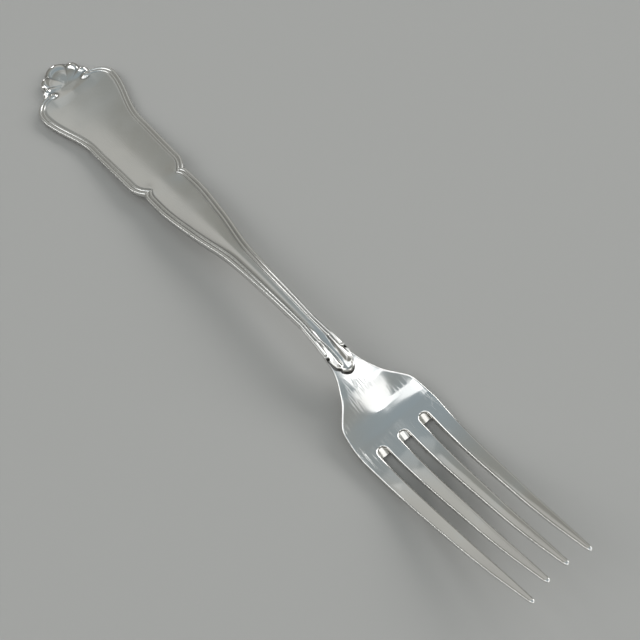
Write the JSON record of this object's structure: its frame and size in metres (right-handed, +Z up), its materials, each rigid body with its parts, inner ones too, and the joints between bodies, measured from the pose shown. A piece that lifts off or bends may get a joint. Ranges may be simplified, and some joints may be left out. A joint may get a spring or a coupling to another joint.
{
  "type": "dinner fork",
  "caption": "Table fork with slender tapering tines, a dished palm, a thin arched stem and a waisted handle with a threaded border and a fluted shell at its end.",
  "frame": {"origin": "on the table plane, under the middle of the fork's overall length and width", "axes": "+X from the shell at the handle's end to the tips of the tines, +Z up from the table, front face up"},
  "size_m": [0.201, 0.025, 0.0166],
  "materials": {
    "handle_silver": "polished silver, softly worn, darkened in the hollows of the ornament",
    "head_silver": "polished silver with fine straight scratches from use"
  },
  "bodies": {
    "root": {"shell_terminal": "handle_silver", "handle_plate": "handle_silver", "handle_shoulders": "handle_silver", "stem": "handle_silver", "neck": "head_silver", "neck_drop": "head_silver", "palm": "head_silver", "tine_1": "head_silver", "tine_2": "head_silver", "tine_3": "head_silver", "tine_4": "head_silver"}
  },
  "joints": []
}
